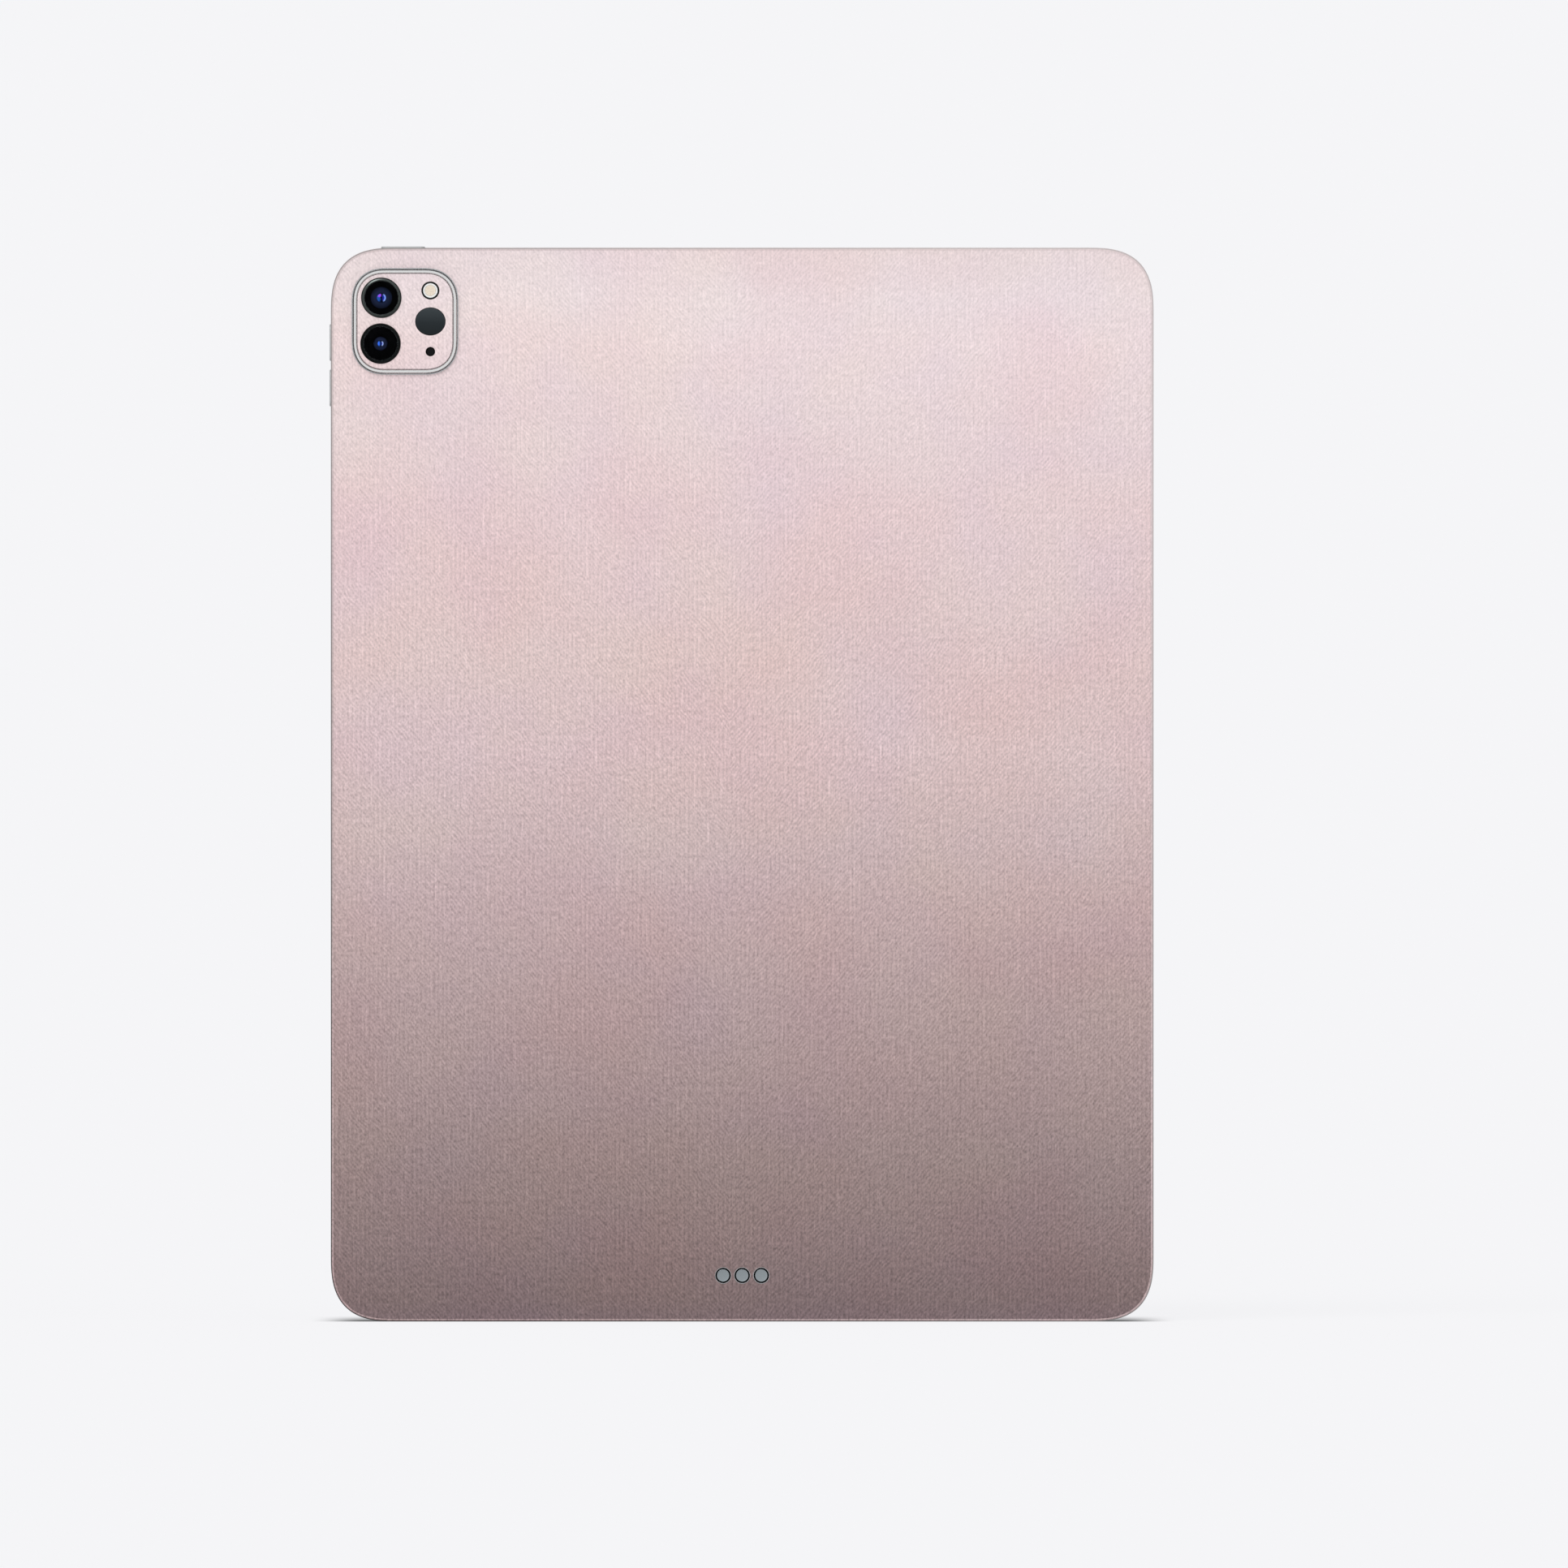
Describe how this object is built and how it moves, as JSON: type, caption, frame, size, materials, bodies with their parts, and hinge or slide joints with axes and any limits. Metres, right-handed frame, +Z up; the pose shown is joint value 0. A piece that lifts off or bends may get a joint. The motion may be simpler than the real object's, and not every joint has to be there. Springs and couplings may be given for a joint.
{
  "type": "tablet computer",
  "caption": "Slim slab tablet with a square camera island, flat edges with three press buttons, a charging port and a linen-print film on its back and sides.",
  "frame": {"origin": "on the ground under the middle of the slab, which stands upright on its short bottom edge", "axes": "+X to the right when the back is looked at, +Z up along the long side, +Y out of the screen; the back and the camera face -Y"},
  "size_m": [0.2158, 0.0084, 0.2815],
  "materials": {
    "aluminium": "bead-blasted and anodised",
    "screen_glass": "polished, black behind",
    "linen_film": "printed vinyl film, linen print, pink at the top to brown at the base",
    "black_plastic": "moulded, matt",
    "pale_plastic": "moulded, satin",
    "rubber": "adhesive foam",
    "steel": "plated",
    "lens_glass": "coated, dark",
    "display": "dark polariser",
    "battery_pouch": "laminated pouch",
    "circuit_board": "solder mask",
    "ribbon": "polyimide ribbon",
    "graphite": "ferrite and graphite",
    "contact_metal": "plated, satin"
  },
  "bodies": {
    "slab": {"rear_housing": "aluminium", "front_glass": "screen_glass", "display_gasket": "rubber", "lcd_cell": "display", "backlight_unit": "aluminium", "front_sensor_bracket": "steel", "infrared_camera": "black_plastic", "front_camera": "black_plastic", "dot_projector": "black_plastic", "edge_film_left": "linen_film", "edge_film_right": "linen_film", "edge_film_top": "linen_film", "edge_film_bottom": "linen_film", "back_film": "linen_film", "camera_trim_ring": "aluminium", "camera_cover_plate": "black_plastic", "camera_film": "linen_film", "wide_lens_ring": "aluminium", "wide_lens_cover": "lens_glass", "wide_camera_module": "black_plastic", "ultrawide_lens_ring": "aluminium", "ultrawide_lens_cover": "lens_glass", "ultrawide_camera_module": "black_plastic", "flash_bezel": "black_plastic", "flash_lens": "pale_plastic", "flash_module": "black_plastic", "lidar_window": "lens_glass", "lidar_module": "black_plastic", "rear_microphone": "black_plastic", "power_switch": "steel", "volume_up_switch": "steel", "volume_down_switch": "steel", "pencil_charging_window": "pale_plastic", "pencil_charging_coil": "graphite", "usb_c_tube": "steel", "usb_c_tongue": "black_plastic", "speaker_top_left": "black_plastic", "speaker_top_right": "black_plastic", "speaker_bottom_left": "black_plastic", "speaker_bottom_right": "black_plastic", "contact_carrier": "black_plastic", "contact_pin_left": "contact_metal", "contact_pin_middle": "contact_metal", "contact_pin_right": "contact_metal", "battery_left": "battery_pouch", "battery_right": "battery_pouch", "logic_board": "circuit_board", "wireless_shield": "steel", "processor_shield": "steel", "board_screw_lower": "steel", "board_screw_upper": "steel", "display_flex": "ribbon", "camera_flex": "ribbon", "magnets_left_lower": "steel", "magnets_left_upper": "steel", "magnets_right": "steel", "wifi_antenna": "ribbon"},
    "power_key": {"power_button": "aluminium"},
    "volume_up_key": {"volume_up_button": "aluminium"},
    "volume_down_key": {"volume_down_button": "aluminium"}
  },
  "joints": [
    {"name": "power_press", "type": "slide", "parent": "slab", "child": "power_key", "axis": [0, 0, -1], "range_m": [0, 0.00025], "stiffness_N_per_m": 6000, "springref_m": -0.00005},
    {"name": "volume_up_press", "type": "slide", "parent": "slab", "child": "volume_up_key", "axis": [1, 0, 0], "range_m": [0, 0.00025], "stiffness_N_per_m": 6000, "springref_m": -0.00005},
    {"name": "volume_down_press", "type": "slide", "parent": "slab", "child": "volume_down_key", "axis": [1, 0, 0], "range_m": [0, 0.00025], "stiffness_N_per_m": 6000, "springref_m": -0.00005}
  ]
}
